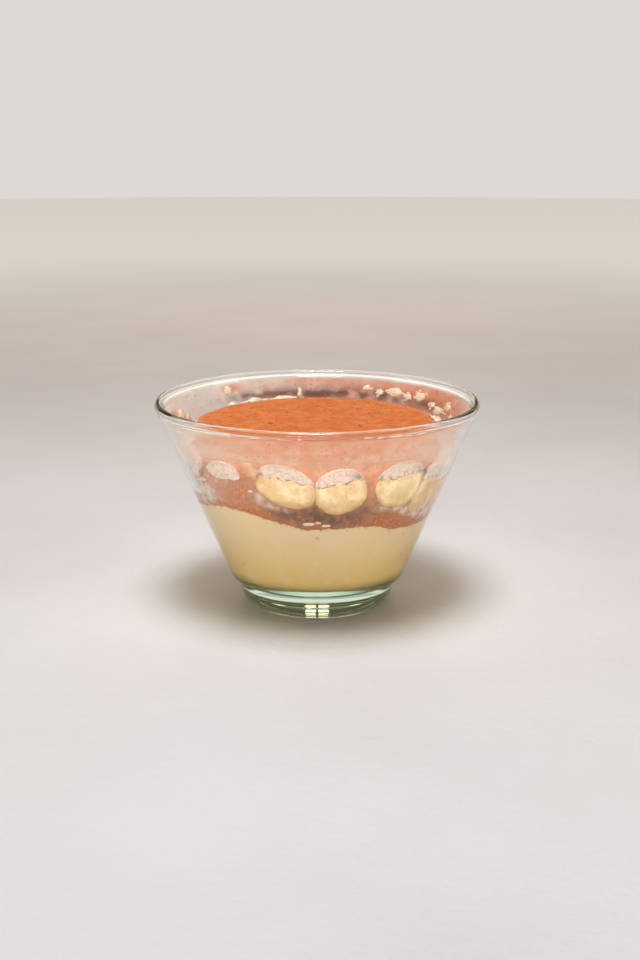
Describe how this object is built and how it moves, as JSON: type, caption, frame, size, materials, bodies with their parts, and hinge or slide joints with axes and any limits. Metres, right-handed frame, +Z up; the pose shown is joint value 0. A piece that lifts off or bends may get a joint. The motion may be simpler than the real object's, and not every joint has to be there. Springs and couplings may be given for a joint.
{
  "type": "tiramisu in a glass dessert bowl",
  "caption": "Single-serve layered dessert in a conical clear-glass bowl: cream, soaked cocoa, ladyfingers and a flat cocoa-dusted top below the rim.",
  "frame": {"origin": "centre of the foot, on the surface that the bowl stands on", "axes": "+Z up along the bowl's axis; -Y is the front, where the ends of the two middle ladyfingers show; +X to the right seen from the front"},
  "size_m": [0.12, 0.12, 0.0776],
  "materials": {
    "clear_glass": "clear pressed soda glass, smooth and glossy, faintly green where it is seen edge on",
    "mascarpone_cream": "pale yellow set cream, smooth and softly moist",
    "soaked_cocoa": "coffee-soaked cocoa, mottled from purple-brown to orange-brown, damp",
    "sponge": "pale yellow sponge crumb with a cracked white sugar crust on top",
    "dusted_cream": "cream stained salmon by cocoa, finely speckled, matte",
    "cocoa_powder": "dry sifted cocoa powder, matte and slightly lumpy"
  },
  "bodies": {
    "root": {"glass_bowl": "clear_glass", "bottom_cream": "mascarpone_cream", "cocoa_layer": "soaked_cocoa", "ladyfinger_far_left": "sponge", "ladyfinger_left": "sponge", "ladyfinger_mid_left": "sponge", "ladyfinger_mid_right": "sponge", "ladyfinger_right": "sponge", "ladyfinger_far_right": "sponge", "top_cream": "dusted_cream", "cocoa_dusting": "cocoa_powder"}
  },
  "joints": []
}
